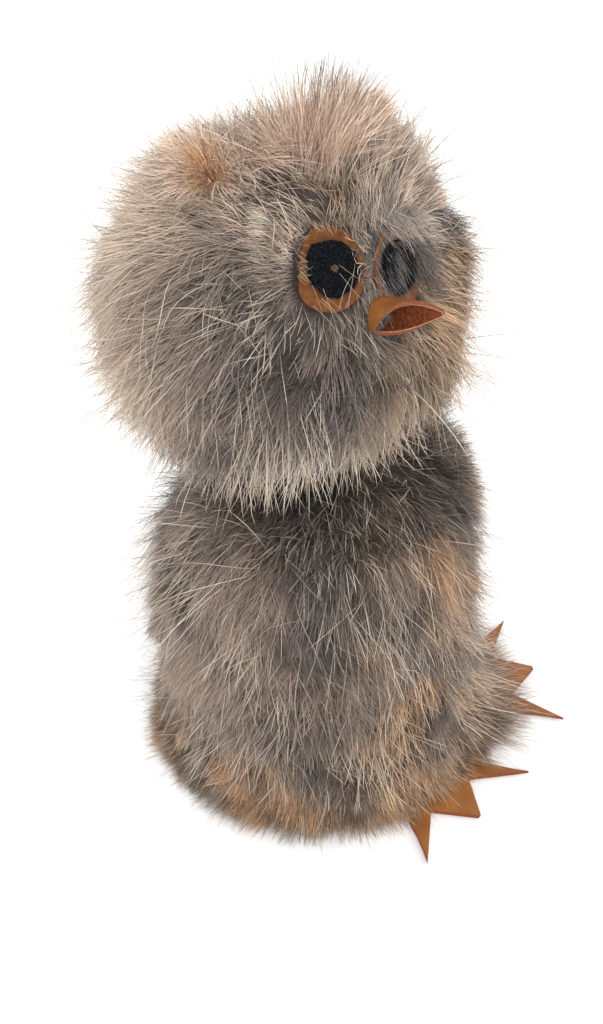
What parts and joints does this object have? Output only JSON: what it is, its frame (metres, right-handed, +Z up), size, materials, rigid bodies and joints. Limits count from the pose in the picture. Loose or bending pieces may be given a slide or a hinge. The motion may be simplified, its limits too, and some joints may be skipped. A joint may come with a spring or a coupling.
{
  "type": "fur owl hand puppet",
  "caption": "Standing owl hand puppet of long fur: hollow body sleeve, turning and nodding round head, leather beak, eye patches and clawed feet.",
  "frame": {"origin": "on the floor, under the middle of the whole puppet", "axes": "+Z up, -Y the way the chest and feet face, +X the owl's left"},
  "size_m": [0.1297, 0.1614, 0.2618],
  "materials": {
    "body_fur": "dense grey-brown rabbit fur with cream guard hairs",
    "hem_fur": "grey-brown rabbit fur, tanner than the body",
    "head_fur": "long grey-brown rabbit fur with ivory guard hairs",
    "crest_fur": "long pinkish-tan fur with dark tips",
    "ear_fur": "tan fur, rust brown inside",
    "neck_pelt": "gathered pelt in shade, dark brown",
    "lining_cloth": "plain woven cotton",
    "stall_cloth": "stiffened cotton",
    "stiff_band": "thick undyed sole leather band",
    "foot_leather": "smooth tan leather, reddish cut edge",
    "face_leather": "napped tan leather",
    "beak_leather": "golden tan outside, reddish suede inside",
    "black_felt": "fuzzy black wool felt",
    "thread": "tan waxed thread",
    "filling": "polyester fibre filling"
  },
  "bodies": {
    "body": {"body_pelt": "body_fur", "hem_pelt": "hem_fur", "body_lining": "lining_cloth", "base_ring": "stiff_band", "right_foot": "foot_leather", "left_foot": "foot_leather"},
    "neck": {"neck_sleeve": "neck_pelt", "neck_tie": "thread"},
    "head": {"head_pelt": "head_fur", "head_stuffing": "filling", "finger_stall": "stall_cloth", "crest_tuft": "crest_fur", "right_ear_tuft": "ear_fur", "left_ear_tuft": "ear_fur", "right_eye_patch": "face_leather", "left_eye_patch": "face_leather", "right_pupil": "black_felt", "left_pupil": "black_felt", "right_eye_tack": "thread", "left_eye_tack": "thread", "beak": "beak_leather"}
  },
  "joints": [
    {"name": "head_turn", "type": "hinge", "parent": "body", "child": "neck", "pos_m": [-0.0056, 0.0182, 0.13], "axis": [0, 0, 1], "range_deg": [-42, 108]},
    {"name": "head_nod", "type": "hinge", "parent": "neck", "child": "head", "pos_m": [-0.0056, 0.0182, 0.13], "axis": [0.8387, -0.5446, 0], "range_deg": [-12, 18]}
  ]
}
